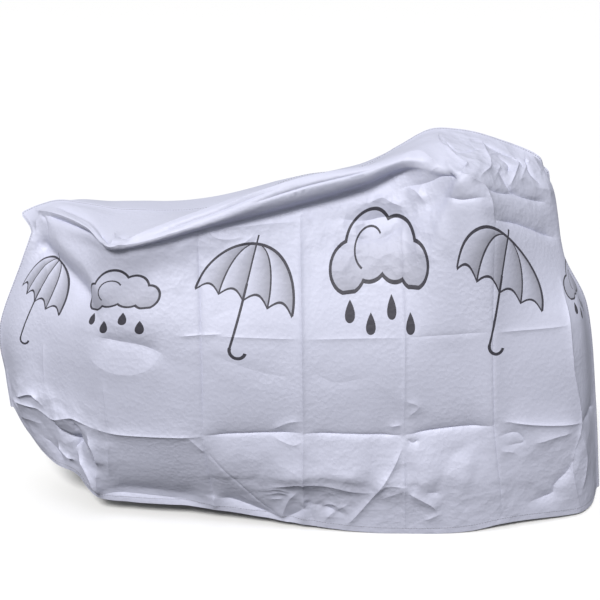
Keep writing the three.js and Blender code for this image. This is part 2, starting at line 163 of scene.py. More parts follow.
# sharp creases, some with the rise of a thin line that packing pressed into them
nearCreases = [
    # edge of the low end and the corner it runs to
    fold([(0.38, 1050), (0.5, 960), (0.78, 912), (1.34, 890), (1.68, 890), (2, 888)], 8, 40, 14),
    fold([(0.6, 905), (0.85, 884), (1.34, 866), (1.68, 866), (1.98, 862)], -12, 12, 26),
    fold([(0.08, 842), (0.23, 888), (0.44, 935)], 3, 20, 12),
    fold([(0.44, 935), (0.55, 855), (0.5, 800)], -4, 14, 22),
    fold([(0.06, 800), (0.66, 740), (0.95, 690)], 2, 8, 16),
    fold([(1.2, 930), (1.55, 904), (1.98, 880)], -3, 12),
    fold([(1.84, 896), (2, 884), (2.18, 894)], 9, 16, 10),
    fold([(1.96, 960), (2.02, 925), (2, 892)], 6, 22, 14, press=2),
    fold([(1.75, 935), (1.88, 918), (1.98, 896)], -4, 12, press=-2),
    fold([(2.06, 935), (2.16, 922), (2.2, 902)], -4, 12, press=-2),
    # pocket that sags under the neck
    fold([(1.93, 545), (2.15, 534), (2.42, 521), (2.64, 500)], -13, 26, 46),
    fold([(1.83, 485), (2.04, 455), (2.29, 446), (2.49, 462), (2.61, 497)], 5, 44, 40),
    # taut edge of the top, rolled over a crisp tuck
    fold([(2, 888), (2.4, 890), (2.9, 890)], 3, 14, 10),
    fold([(2.02, 820), (2.6, 818), (3.4, 818), (4.2, 818), (5.02, 818)], -7, 14, 18),
    fold([(2.06, 905), (2.5, 922), (3, 930), (3.6, 932)], 5, 20, 10, press=2),
    fold([(2.2, 930), (2.6, 950), (3.1, 962)], -5, 30, 12, press=-2),
    fold([(2.5, 905), (3.1, 908), (3.8, 912)], -3, 8, 6, press=-2),
    fold([(3.2, 918), (4, 922), (4.6, 930)], 3, 8, 6, press=2),
    fold([(3, 948), (3.7, 946), (4.4, 944), (4.9, 930)], -3, 14, 8, press=-2),
    fold([(3.55, 896), (4.1, 893), (4.7, 900)], -2.5, 6, 8, press=-2),
    # upright creases
    fold([(1.05, 505), (1, 320)], 2, 24, press=2.1),
    fold([(2, 420), (2.02, 300)], 2, 20, press=2.1),
    fold([(2.02, 255), (2.05, 110)], 3, 20, press=2.1),
    fold([(2.98, 820), (3, 560), (3, 277)], -3, 26, 34, press=-3.4),
    fold([(3, 260), (3.06, 60)], -3, 20, press=-2.9),
    fold([(4, 800), (4, 560), (4, 286)], 4, 34, 26, press=3.8),
    fold([(4, 286), (4, 100)], 4, 24, 20, press=3.4),
    fold([(4, 105), (4, 4)], 6, 16, 18, press=2.1),
    fold([(5, 745), (5, 560), (5, 280)], -3, 26, 34, press=3.4),
    fold([(5, 240), (5, 8)], -3, 24, 20, press=3.8),
    fold([(6.1, 775), (6, 550), (6, 284), (6, 6)], 10, 50, 46, press=-3.8),
    fold([(6.9, 700), (6.9, 442), (6.98, 276), (6.84, 138), (6.94, 5)], 13, 50, 56, press=2.9),
    # level creases
    fold([(1.94, 280), (2.46, 280), (2.98, 276)], 8, 46, 26, press=2.9),
    fold([(3.02, 279), (3.5, 281), (3.98, 286)], -10, 40, 44, press=-3.4),
    fold([(4.02, 284), (4.98, 280)], -6, 30, 34, press=-3.8),
    fold([(5.02, 282), (5.5, 287), (5.98, 284)], -16, 56, 54, press=-3.4),
    fold([(6.12, 296), (6.5, 282), (6.98, 276)], 8, 40, 22, press=2.9),
    fold([(7, 276), (7.6, 276), (7.95, 272)], -7, 30, press=-2.9),
    fold([(2.8, 548), (3.2, 556)], 1, 14, press=2.5),
    fold([(3.2, 550), (3.96, 552)], 0.5, 14, press=1.7),
    fold([(4.05, 552), (4.95, 550)], 0.5, 14, press=1.7),
    fold([(5.05, 550), (5.95, 552)], 0.5, 14, press=-1.7),
    fold([(6.1, 550), (6.85, 556)], 1, 20, 18, press=2.1),
    fold([(3.08, 505), (3.48, 470), (3.73, 455), (3.93, 458)], -2, 18, 22),
    # slanting creases from the low crease to the hem
    fold([(2.86, 272), (3.02, 222)], 4, 8),
    fold([(3, 240), (3.27, 142), (3.53, 58), (3.76, 5)], 6, 46, 26, press=-2.9),
    fold([(4.99, 252), (4.88, 192), (4.76, 140), (4.61, 78), (4.44, 14)], 8, 9),
    fold([(3.58, 105), (3.7, 120), (3.96, 140), (4.21, 140), (4.38, 132), (4.61, 122), (4.73, 128)],
         12, 34, 20),
    fold([(4.75, 122), (4.8, 145), (4.99, 140), (5.03, 130)], 6, 16),
    fold([(5.01, 130), (4.88, 118), (4.76, 102)], 5, 22),
    fold([(5.04, 122), (5.19, 102), (5.31, 82), (5.35, 65)], 11, 22, 14),
    fold([(5.23, 122), (5.38, 118)], -4, 10, 12),
    fold([(5.38, 58), (5.21, 40)], 4, 10, 12),
    fold([(6.96, 250), (6.93, 212), (6.8, 138), (6.62, 95), (6.59, 70), (6.31, 52)], -12, 16, 32),
    fold([(6.41, 228), (6.65, 245), (6.83, 252)], 7, 18, 14),
    fold([(6.99, 238), (7.1, 158), (6.97, 62)], 6, 14),
    fold([(6.06, 256), (6.24, 262), (6.3, 236), (6.12, 226)], -3, 6),
    fold([(6.05, 214), (6.2, 206)], 3, 8),
    fold([(5.02, 385), (5.16, 365), (5.04, 335)], 3, 10),
    fold([(4.05, 480), (4.3, 440), (4.6, 452)], -2, 22),
    fold([(3.7, 296), (3.86, 318), (3.98, 322)], 4, 10),
    fold([(3.72, 270), (3.9, 252), (3.98, 262)], 3, 8),
    fold([(4.86, 306), (4.97, 312)], 4, 8),
    fold([(5.04, 268), (5.1, 258), (5.16, 264)], -6, 8),
    # small fan of wrinkles over the hem
    fold([(3.61, 102), (3.74, 113), (3.86, 106)], 3, 7),
    fold([(3.61, 85), (3.76, 100), (3.84, 95)], 3, 6),
    fold([(3.65, 70), (3.78, 80)], 3, 6),
    fold([(3.76, 4), (3.85, 78), (3.94, 108)], 6, 9, 12),
    fold([(4.05, 84), (4.06, 58), (4.09, 6)], -5, 10),
    fold([(4.21, 24), (4.29, 48), (4.45, 82)], 6, 12, 16),
    fold([(4.16, 60), (4.26, 76), (4.36, 70)], 4, 8),
    # hem turned out in lips
    fold([(1.96, 14), (2.1, 27), (2.34, 27), (2.61, 22), (2.96, 9)], -7, 30, 12),
    fold([(3.1, 46), (3.26, 40), (3.5, 25), (3.76, 6)], -13, 45, 16),
    fold([(3.8, 8), (3.94, 34), (4.04, 60)], -9, 24, 14),
    fold([(4.1, 68), (4.29, 60), (4.42, 46)], -8, 24, 16),
    fold([(3.08, 54), (3.07, 4)], 8, 10),
    # crumpled low corner
    fold([(0.1, 150), (0.45, 196), (0.85, 218), (1.15, 215), (1.55, 262), (1.94, 280)],
         20, 60, 95, press=3),
    fold([(0.44, 222), (0.79, 275), (0.95, 248)], 8, 18, 10, press=3),
    fold([(0.86, 215), (1.11, 180), (1.4, 155), (1.71, 178)], -14, 20, 34, press=-4),
    fold([(1.48, 242), (1.55, 190), (1.46, 118)], -9, 18, 14, press=-3),
    fold([(1.75, 230), (1.88, 182), (1.91, 138)], 10, 14, 16, press=4),
    fold([(1.15, 100), (1.26, 78), (1.43, 60)], 10, 18, 14, press=4),
    fold([(0.86, 88), (1.04, 70), (1.2, 30)], -6, 18, 20),
    fold([(1.54, 108), (1.78, 82), (1.94, 20)], 12, 18, 14, press=4),
    fold([(1.89, 112), (1.95, 10)], 8, 10, 16),
    fold([(0.3, 60), (0.62, 128), (0.9, 150)], 4, 16),
    # peak of the hump and the folds that run from it
    fold([(5.7, 885), (5.84, 848), (5.99, 825), (6.09, 775)], 10, 26, 30, press=4),
    fold([(5.69, 880), (5.38, 829), (5.19, 803), (5, 790)], -6, 26, 9, press=-2),
    fold([(5.4, 785), (5.62, 798), (5.98, 812)], -2, 8, press=-3.5),
    fold([(6.11, 778), (6.43, 800), (6.96, 815)], -9, 26, 12, press=-4),
    fold([(6, 832), (6.2, 838), (6.41, 850)], -3, 9, 6, press=-5),
    fold([(6.08, 910), (6.19, 895), (6.28, 862), (6.4, 848), (6.85, 858)], -4, 12, 7, press=-5),
    fold([(5.44, 1058), (5.43, 958), (5.59, 955), (5.78, 925), (5.7, 890)], 4, 8, 16, press=4),
    fold([(5.48, 972), (5.62, 980)], 3, 5, 4),
    fold([(5.76, 1030), (5.86, 1056), (5.96, 1060)], 2.5, 5),
    fold([(5.85, 1045), (5.89, 1012), (5.96, 990)], -2.5, 5),
    fold([(5.98, 1060), (6.01, 978), (6.05, 898), (5.93, 860)], 4, 18, 8, press=4),
    fold([(6.33, 865), (6.49, 980), (6.44, 1002)], 4, 8, 16, press=4.5),
    fold([(6.72, 1050), (6.68, 942), (6.78, 902)], -4, 12, 10, press=-4),
    fold([(6.01, 1056), (6.26, 1025), (6.46, 1012)], -3, 8, 14, press=-4),
    fold([(6.04, 930), (6.19, 915), (6.12, 868)], 4, 5, 6),
    fold([(6.45, 880), (6.6, 960), (6.76, 1030)], 4, 6, 5),
    fold([(6.2, 980), (6.34, 940), (6.3, 890)], -3, 14, 7, press=-4),
    fold([(6.5, 1020), (6.58, 990), (6.54, 950)], -4, 5, 6),
    fold([(6.05, 960), (6.22, 1000)], 3.5, 5),
    fold([(5.55, 1010), (5.7, 985), (5.92, 1000)], -2, 8, 6, press=-4),
    # end of the taut edge, and the slack under it
    fold([(4.95, 908), (5.16, 908), (5.27, 885), (5.36, 866)], 7, 18, 10),
    fold([(5.36, 862), (5.29, 850), (5.26, 825)], 3, 5, 6),
    fold([(5.05, 792), (5.12, 785), (5.19, 768)], 6, 9, 8),
    fold([(4.67, 780), (4.79, 780), (4.9, 765), (5.02, 754)], 8, 12, 10),
    fold([(4.38, 762), (4.59, 748), (4.79, 745), (4.98, 738)], -9, 14, 10),
    fold([(4.5, 722), (4.64, 712), (4.78, 710), (4.89, 715), (5.03, 730)], -9, 12, 14),
    fold([(4.48, 740), (4.61, 742)], 5, 10),
    fold([(4.3, 720), (4.44, 700), (4.6, 690)], -6, 16, 12),
    fold([(3.06, 828), (3.15, 795), (3.28, 780), (3.44, 778)], 2.5, 7),
    fold([(3.23, 750), (3.4, 758), (3.55, 775)], 2.5, 7),
    fold([(4.02, 805), (4.06, 788), (4.1, 772)], 3, 7),
    fold([(3.26, 808), (3.62, 798), (3.98, 782)], 2.5, 8),
    fold([(3.1, 600), (3.5, 630)], -1.5, 20),
    fold([(3.5, 735), (3.7, 712)], 1.5, 10),
]
farCreases = [
    fold([(1.6, 280), (2.9, 276)], 8, 46, 30),
    fold([(3.05, 276), (4, 272)], -8, 40),
    fold([(4.15, 272), (5, 278)], 7, 46, 30),
    fold([(5.1, 278), (6.9, 276)], -9, 46, 40),
    fold([(2, 600), (2, 300)], -4, 24),
    fold([(3, 740), (3, 300)], 5, 30),
    fold([(3, 250), (3, 20)], -5, 24),
    fold([(4, 780), (4, 300)], -5, 30),
    fold([(5, 760), (5, 300)], 5, 30),
    fold([(5, 250), (5, 20)], -5, 24),
    fold([(6, 800), (6, 560), (6, 15)], 9, 46),
    fold([(7, 720), (7, 300), (7, 10)], 11, 50, 46),
    fold([(1.2, 552), (2.9, 548)], -3, 24),
    fold([(4.1, 545), (6.8, 556)], -3, 24),
    fold([(4.1, 262), (3.8, 150), (3.5, 10)], 7, 34, 26),
    fold([(5.1, 262), (5.4, 120), (5.7, 10)], 7, 34, 26),
    fold([(6.1, 850), (6.6, 860)], -6, 18),
    fold([(5.4, 830), (5.7, 890), (5.96, 832)], 8, 24, 28),
    fold([(2.3, 700), (2.8, 640)], 4, 26, 24),
    fold([(3.2, 690), (3.8, 740)], -4, 26, 24),
    fold([(6.2, 740), (6.7, 690)], 5, 26),
    fold([(0.5, 320), (1, 312), (1.6, 230)], 9, 36, 24),
    fold([(0.4, 200), (0.9, 190), (1.5, 110)], -9, 28),
]
# uneven ground between the creases: patch of the sheet, facet size and rise, finest first
nearGround = [
    {"patch": (0, 0.7, 780, 1100), "step": 60, "rise": 1.4},
    {"patch": (5.6, 7.1, 880, 1090), "step": 60, "rise": 2.0},
    {"patch": (0, 2.0, 0, 300), "step": 60, "rise": 3.6},
    {"patch": (2.0, 7.8, 0, 285), "step": 74, "rise": 1.4},
    {"patch": (-0.6, 8.6, -140, 1240), "step": 112, "rise": 1.7},
]
farGround = [
    {"patch": (5.15, 7.1, 800, 1080), "step": 42, "rise": 1.9},
    {"patch": (0, 2.1, 0, 330), "step": 50, "rise": 2.0},
    {"patch": (2.0, 7.8, 0, 285), "step": 74, "rise": 1.6},
    {"patch": (-0.6, 8.6, -140, 1240), "step": 112, "rise": 2.0},
]
facets = {"stray": 0.4, "room": 0.62}  # how far a corner strays and how near another may be, in steps
foldForm = {
    "step": 12,  # between points of a path
    "margin": 5,  # reaches beyond which a fold has died out
    "taper": 0.22,  # share of its length over which it rises
    "endRise": 0.35,  # share of the rise that its ends have
    "creaseTip": 1.2,
}
pressed = {"reach": (4, 4), "tip": 0.5}

# slackness of the film, as a share of full crumple: in patches, and fading to the least beside them
slackness = {
    "least": 0.07,
    "fade": 45,
    "patches": [
        ((5.5, 7.0, 890, 1100), 0.9),
        ((0.0, 0.6, 800, 1100), 0.4),
        ((0.0, 1.9, 0, 290), 0.55),
        ((3.4, 7.6, 0, 230), 0.3),
        ((4.4, 5.2, 690, 780), 0.8),
        ((2.6, 4.4, 700, 800), 0.3),
    ],
}


def throughPoints(points, knots, t):  # a smooth line through points, one for each knot, at each t
    slopes = np.empty_like(points)
    gaps = knots[2:] - knots[:-2]
    slopes[..., 1:-1, :] = (points[..., 2:, :] - points[..., :-2, :]) / gaps[:, None]
    slopes[..., 0, :] = (points[..., 1, :] - points[..., 0, :]) / (knots[1] - knots[0])
    slopes[..., -1, :] = (points[..., -1, :] - points[..., -2, :]) / (knots[-1] - knots[-2])
    k = np.clip(np.searchsorted(knots, t, "left") - 1, 0, len(knots) - 2)
    span = (knots[k + 1] - knots[k])[:, None]
    w = (t - knots[k])[:, None] / span
    if points.ndim == 3:  # a line of its own for each t
        rows = np.arange(len(t))
        a, b, sa, sb = points[rows, k], points[rows, k + 1], slopes[rows, k], slopes[rows, k + 1]
    else:
        a, b, sa, sb = points[k], points[k + 1], slopes[k], slopes[k + 1]
    start, end = 2 * w**3 - 3 * w**2 + 1, 3 * w**2 - 2 * w**3
    leave, arrive = (w**3 - 2 * w**2 + w) * span, (w**3 - w**2) * span
    return start * a + leave * sa + end * b + arrive * sb


def sectionNet(sections, edges):  # points of the smooth panel, a row for each crease number
    net = []
    for row, (at, ridge) in zip(sections, ridgeLine):
        section = throughPoints(np.array(list(row) + [ridge], float), rowHeights, netHeights)
        if at in edges:
            section[tautRows] = edges[at]
            brow, seam = section[deckRow - 1], section[deckRow + 1]
            section[deckRow] = brow + deckShare * (seam - brow)
        net.append(section)
    return np.array(net)


def loft(net, s, t):  # point of the smooth panel over each place of the flat sheet
    ats = np.array([row[0] for row in ridgeLine], float)
    acrossHere = np.stack([throughPoints(section, netHeights, t) for section in net], 1)
    return throughPoints(acrossHere, ats, s / sheetCut["pitch"])


nearNet, farNet = sectionNet(nearSections, tautEdge), sectionNet(farSections, {})


def curveThrough(path, step):  # a smooth curve through the path, with a point about every step
    path = np.array(path, float) * (sheetCut["pitch"], 1)
    knots = np.concatenate([[0], np.cumsum(np.hypot(*np.diff(path, axis=0).T))])
    return throughPoints(path, knots, np.linspace(0, knots[-1], max(2, math.ceil(knots[-1] / step)) + 1))


def foldRise(row, s, t):
    path, rise = curveThrough(row["path"], foldForm["step"]), np.zeros(len(s))
    margin = foldForm["margin"] * max(row["reach"])
    low, high = path.min(0) - margin, path.max(0) + margin
    some = np.flatnonzero((s > low[0]) & (s < high[0]) & (t > low[1]) & (t < high[1]))
    x, y = s[some], t[some]
    nearest, left, along = np.full(len(some), np.inf), np.zeros(len(some), bool), np.zeros(len(some))
    run = 0.0
    for a, b in zip(path[:-1], path[1:]):
        way = b - a
        length = math.hypot(*way)
        w = np.clip(((x - a[0]) * way[0] + (y - a[1]) * way[1]) / length**2, 0, 1)
        dx, dy = x - a[0] - w * way[0], y - a[1] - w * way[1]
        gap = np.hypot(dx, dy)
        closer = gap < nearest
        left = np.where(closer, way[0] * dy - way[1] * dx > 0, left)
        along = np.where(closer, run + w * length, along)
        nearest = np.minimum(gap, nearest)
        run += length
    reach, tip = np.where(left, *row["reach"]), row.get("tip", foldForm["creaseTip"])
    ends = np.clip(np.minimum(along, run - along) / (foldForm["taper"] * run), 0, 1)
    ends = foldForm["endRise"] + (1 - foldForm["endRise"]) * ends * ends * (3 - 2 * ends)
    rise[some] = row["rise"] * ends * np.exp(-(np.sqrt(nearest**2 + tip**2) - tip) / reach)
    return rise


def groundNet(ground, rng):  # scattered corners with a height each, joined into facets
    pitch = sheetCut["pitch"]
    places, heights = [], []
    for patch in ground:
        lowAt, highAt, low, high = patch["patch"]
        step = patch["step"]
        for x in np.arange(lowAt * pitch + step / 2, highAt * pitch, step):
            for y in np.arange(low + step / 2, high, step):
                place = np.array((x, y)) + rng.uniform(-facets["stray"], facets["stray"], 2) * step
                height = rng.normal(0, patch["rise"])
                if not places or np.hypot(*(np.array(places) - place).T).min() > facets["room"] * step:
                    places.append(place)
                    heights.append(height)
    corners, _, faces, origins, *_ = delaunay_2d_cdt([Vector(p) for p in places], [], [], 0, mergeWithin)
    return np.array([tuple(c) for c in corners]), np.array([heights[o[0]] for o in origins]), faces


def netRise(corners, heights, faces, s, t):  # height of the facets over each place
    rise, slip = np.zeros(len(s)), 1e-6
    order = np.argsort(s)
    ordered = s[order]
    for face in faces:
        a, b, c = corners[list(face)]
        first, last = np.searchsorted(ordered, (min(a[0], b[0], c[0]) - slip, max(a[0], b[0], c[0]) + slip))
        some = order[first:last]
        x, y = s[some], t[some]
        area = (b[0] - a[0]) * (c[1] - a[1]) - (b[1] - a[1]) * (c[0] - a[0])
        if abs(area) < 1e-9:
            continue
        wb = ((x - a[0]) * (c[1] - a[1]) - (y - a[1]) * (c[0] - a[0])) / area
        wc = ((b[0] - a[0]) * (y - a[1]) - (b[1] - a[1]) * (x - a[0])) / area
        inside = (wb >= -slip) & (wc >= -slip) & (wb + wc <= 1 + slip)
        level = heights[face[0]] * (1 - wb - wc) + heights[face[1]] * wb + heights[face[2]] * wc
        rise[some[inside]] = level[inside]
    return rise


def riseOf(flat, folds, ground, seed):  # how far each point stands out of the smooth panel
    s, t = flat.T
    rise = netRise(*groundNet(ground, np.random.default_rng(seed)), s, t)
    for row in folds:
        rise += foldRise(row, s, t)
        if "press" in row:
            rise += foldRise({**row, **pressed, "rise": row["press"]}, s, t)
    fromSeam = np.minimum(np.minimum(s, sheetCut["length"] - s), sheetCut["height"] - t)
    return rise * np.clip(fromSeam / sheetCut["seamCalm"], 0, 1)


def unit(ways):
    return ways / np.maximum(np.linalg.norm(ways, axis=1, keepdims=True), 1e-12)


def flatMesh(creases, grain):  # triangles over the flat sheet, with edges along every crease
    length, height, turn = sheetCut["length"], sheetCut["height"], sheetCut["hemTurn"]
    points, links, sharp = [], [], []

    def line(a, b, count):
        first = len(points)
        a, b = np.array(a), np.array(b)
        points.extend((a + (b - a) * k / count).tolist() for k in range(count + 1))
        links.extend((first + k, first + k + 1) for k in range(count))
        return list(range(first, first + count + 1))

    def clear(p):
        offSeam = keepOff["seam"] < p[0] < length - keepOff["seam"] and p[1] < height - keepOff["seam"]
        return offSeam and p[1] > keepOff["hem"] and abs(p[1] - turn) > keepOff["hemTurn"]

    def addBetween(places, room):
        drawn = KDTree(len(points))
        for k, p in enumerate(points):
            drawn.insert((p[0], p[1], 0), k)
        drawn.balance()
        for x, y in places:
            if clear((x, y)) and drawn.find((x, y, 0))[2] > room:
                points.append([float(x), float(y)])

    wide, tall = round(length / grain["border"]), round(height / grain["border"])
    lines = {
        "hem": line((0, 0), (length, 0), wide),
        "hemTurn": line((keepOff["ends"], turn), (length - keepOff["ends"], turn), wide),
        "left": line((0, 0), (0, height), tall),
        "top": line((0, height), (length, height), wide),
        "right": line((length, 0), (length, height), tall),
    }
    beside = []
    for crease in creases:
        curve = curveThrough(crease["path"], grain["crease"])
        ways = np.gradient(curve, axis=0)
        lefts = unit(np.stack([-ways[:, 1], ways[:, 0]], 1))
        for off in grain["beside"]:
            beside.extend(curve + lefts * off)
            beside.extend(curve - lefts * off)
        last = None
        for k, p in enumerate(curve):
            if clear(p):
                points.append(p.tolist())
                if last == k - 1:
                    links.append((len(points) - 2, len(points) - 1))
                    sharp.append(links[-1])
                last = k
    addBetween(beside, meshRoom["beside"] * grain["crease"])
    step, between = grain["fill"], []
    for k, y in enumerate(np.arange(step, height, step * rowShare)):
        start = step * (0.25 + k % 2 / 2)  # every other row is half a step on
        between.extend((x, y) for x in np.arange(start, length, step))
    addBetween(between, meshRoom["fill"] * step)
    flat, _, faces, origins, *_ = delaunay_2d_cdt([Vector(p) for p in points], links, [], 0, mergeWithin)
    places = {old: new for new, olds in enumerate(origins) for old in olds}
    lines = {name: [places[k] for k in run] for name, run in lines.items()}
    sharp = np.array([(places[a], places[b]) for a, b in sharp])
    return np.array([tuple(p) for p in flat]), np.array([list(f) for f in faces]), lines, sharp


def turnedOut(flat, faces, side):  # faces in the order that points them out of the panel
    way = flat[faces[:, 1]] - flat[faces[:, 0]]
    other = flat[faces[:, 2]] - flat[faces[:, 0]]
    turned = way[:, 0] * other[:, 1] - way[:, 1] * other[:, 0] < 0
    faces[turned] = faces[turned][:, ::-1]
    return faces[:, ::-1] if side > 0 else faces


def pointNormals(points, faces):
    a, b, c = (points[faces[:, k]] for k in range(3))
    across = np.cross(b - a, c - a)
    normals = np.zeros_like(points)
    for k in range(3):
        np.add.at(normals, faces[:, k], across)
    return unit(normals)


def seamFrame(seam, flat):  # way out along the seam edge, and the way over to the far panel
    ways = unit(np.gradient(seam, axis=0))
    upright = unit(np.stack([-ways[:, 2], np.zeros(len(seam)), ways[:, 0]], 1))
    inset = sheetCut["seamInset"]
    inside = np.clip(flat, (inset, -1), (sheetCut["length"] - inset, sheetCut["height"] - inset))
    onward = loft(nearNet, *flat.T) - loft(nearNet, *inside.T)
    onward = unit(onward - (onward * ways).sum(1, keepdims=True) * ways)
    lean = sheetCut["seamLean"]
    outs = unit(upright * (1 - lean) + onward * lean)
    return outs, unit(np.cross(outs, ways))


def slackOf(flat):  # how slack the film is at each place
    pitch = sheetCut["pitch"]
    slack = np.full(len(flat), slackness["least"])
    for (lowAt, highAt, low, high), share in slackness["patches"]:
        inPatch = np.clip(flat, (lowAt * pitch, low), (highAt * pitch, high))
        off = np.hypot(*(flat - inPatch).T)
        slack = np.maximum(slack, share * np.exp(-off / slackness["fade"]))
    return slack


def sharpen(mesh, sharp, total, angle):  # creases and steep edges shade sharp, on both faces of the film
    mesh.set_sharp_from_angle(angle=math.radians(angle))
    edges, isSharp = np.zeros(2 * len(mesh.edges), np.int32), np.zeros(len(mesh.edges), bool)
    mesh.edges.foreach_get("vertices", edges)
    mesh.edges.foreach_get("use_edge_sharp", isSharp)
    numbering = (2 * total, 1)  # one number for each pair of points
    creased = np.sort(np.concatenate([sharp, sharp + total]), 1) @ numbering
    isSharp |= np.isin(np.sort(edges.reshape(-1, 2), 1) @ numbering, creased)
    mesh.edges.foreach_set("use_edge_sharp", isSharp)


def makeSheet(name, net, folds, creases, ground, grain, side, seed):
    flat, faces, lines, sharp = flatMesh(creases, grain)
    faces = turnedOut(flat, faces, side)
    shape = loft(net, *flat.T)
    outer = shape + pointNormals(shape, faces) * riseOf(flat, folds + creases, ground, seed)[:, None]

    # seam edge turned out along the left end, the ridge and the right end
    film, edge = sheetCut["film"], sheetCut["seamEdge"]
    border = lines["left"] + lines["top"][1:] + lines["right"][-2::-1]
    outs, across = seamFrame(outer[border], flat[border])
    normals = pointNormals(outer, faces)
    outer[border] += across * side * (sheetCut["seamGap"] / 2 + film)
    inner = outer - normals * film
    toSeam = -across * side * film
    inner[border] = outer[border] + toSeam - outs * film
    count, run = len(outer), len(border)
    rows = [np.array(border)] + [count + k * run + np.arange(run) for k in range(2)]
    edgeRows = [outer[border] + outs * edge * share for share in (0.5, 1)]
    strips = []
    for low, high in zip(rows[:-1], rows[1:]):
        strips.append(np.stack([low[:-1], high[:-1], high[1:]], 1))
        strips.append(np.stack([low[:-1], high[1:], low[1:]], 1))
    order = slice(None, None, -1 if side > 0 else 1)  # the far panel's faces run the other way round
    faces = np.concatenate([faces, np.concatenate(strips)[:, order]])
    outer = np.concatenate([outer] + edgeRows)
    inner = np.concatenate([inner] + [row + toSeam for row in edgeRows])
    flat = np.concatenate([flat, flat[border], flat[border]])

    # both faces of the film, and the rim between them
    total = len(outer)
    loop = np.array(lines["hem"] + [rows[1][-1]] + rows[2][::-1].tolist() + [rows[1][0]])
    after = np.roll(loop, -1)
    rim = [np.stack([loop, loop + total, after + total], 1), np.stack([loop, after + total, after], 1)]
    allFaces = np.concatenate([faces, faces[:, ::-1] + total, np.concatenate(rim)[:, order]])
    points = (np.concatenate([outer, inner]) + sheetCut["middle"]) * mm
    mesh = bpy.data.meshes.new(name)
    mesh.from_pydata(points.tolist(), [], allFaces.tolist())
    layer = mesh.uv_layers.new(name="flatSheet")
    uv = flat / (sheetCut["length"], sheetCut["height"])
    layer.uv.foreach_set("vector", uv[allFaces.reshape(-1) % total].astype(np.float32).ravel())
    mesh.polygons.foreach_set("use_smooth", np.ones(len(allFaces), bool))
    sharpen(mesh, sharp, total, grain["sharp"])
    slack = mesh.attributes.new("slack", "FLOAT", "POINT")
    slack.data.foreach_set("value", np.tile(slackOf(flat), 2).astype(np.float32))
    inside = np.zeros(len(allFaces), np.int32)
    inside[len(faces):2 * len(faces)] = 1
    mesh.polygons.foreach_set("material_index", inside)
    mesh.update()
    obj = bpy.data.objects.new(name, mesh)
    bpy.context.scene.collection.objects.link(obj)
    lift = sheetCut["threadLift"] * mm
    stitchPaths = [
        points[rows[1]] + across * side * lift,
        points[lines["hemTurn"]] + normals[lines["hemTurn"]] * lift,
    ]
    return obj, stitchPaths


nearSheet, nearPaths = makeSheet(
    "nearSheet", nearNet, nearFolds, nearCreases, nearGround, nearGrain, side=-1, seed=5
)
farSheet, farPaths = makeSheet(
    "farSheet", farNet, farFolds, farCreases, farGround, farGrain, side=1, seed=6
)
print("sheets made:", len(nearSheet.data.polygons), len(farSheet.data.polygons), "triangles")


def newMaterial(name):
    material = bpy.data.materials.new(name)
    material.use_nodes = True
    nodes = material.node_tree.nodes
    return material, nodes, material.node_tree.links, nodes["Principled BSDF"]


def newGroup(name, inputs, outputs):
    tree = bpy.data.node_groups.new(name, "ShaderNodeTree")
    for label, kind, value in inputs:
        socket = tree.interface.new_socket(label, in_out="INPUT", socket_type=kind)
        if value is not None:
            socket.default_value = value
    for label, kind in outputs:
        tree.interface.new_socket(label, in_out="OUTPUT", socket_type=kind)
    return tree, tree.nodes.new("NodeGroupInput"), tree.nodes.new("NodeGroupOutput")


def calcFor(tree):  # a short way to add Math nodes to a tree
    def calc(operation, *values, clamp=False):
        node = tree.nodes.new("ShaderNodeMath")
        node.operation = operation
        node.use_clamp = clamp
        for socket, value in zip(node.inputs, values):
            if isinstance(value, (int, float)):
                socket.default_value = value
            else:
                tree.links.new(value, socket)
        return node.outputs[0]

    return calc


def noiseIn(tree, vector, scale, detail=1, roughness=0.5, output="Fac"):
    node = tree.nodes.new("ShaderNodeTexNoise")
    node.inputs["Scale"].default_value = scale
    node.inputs["Detail"].default_value = detail
    node.inputs["Roughness"].default_value = roughness
    tree.links.new(vector, node.inputs["Vector"])
    return node.outputs[output]


def spread(calc, noise):  # noise stretched over its whole range
    return calc("MULTIPLY_ADD", noise, *noiseStretch, clamp=True)


def mixColour(tree, factor, first, second):
    node = tree.nodes.new("ShaderNodeMix")
    node.data_type = "RGBA"
    sockets = {s.identifier: s for s in node.inputs}
    tree.links.new(factor, sockets["Factor_Float"])
    for key, value in (("A_Color", first), ("B_Color", second)):
        if isinstance(value, tuple):
            sockets[key].default_value = value
        else:
            tree.links.new(value, sockets[key])
    return [s for s in node.outputs if s.identifier == "Result_Color"][0]


noiseStretch = (2.4, -0.7)
# crumple of thin film: cells that meet in sharp borders, as a height, and a slow change of tone
crumple = {
    "coarse": (13, 0.05),  # cells in a metre, and how far they bend
    "fine": (31, 0.03),
    "grain": (85, 0.012),
    "bendScale": 0.7,  # of the cells' own
    "patchNoise": (4.5, 3, 0.6),  # scale, detail and roughness
    "toneNoise": (1.7, 4, 0.6),
    "slackHeight": 14,
    "slackInPatch": (0.8, 0.4),  # added in a full patch, and anywhere
    "grainInPatch": (4, 3),
}
crinkleGroup, source, sink = newGroup(
    "filmCrumple",
    [("Vector", "NodeSocketVector", None), ("Slack", "NodeSocketFloat", 0.3)],
    [("Height", "NodeSocketFloat"), ("Tone", "NodeSocketFloat")],
)
calc = calcFor(crinkleGroup)
place = source.outputs["Vector"]


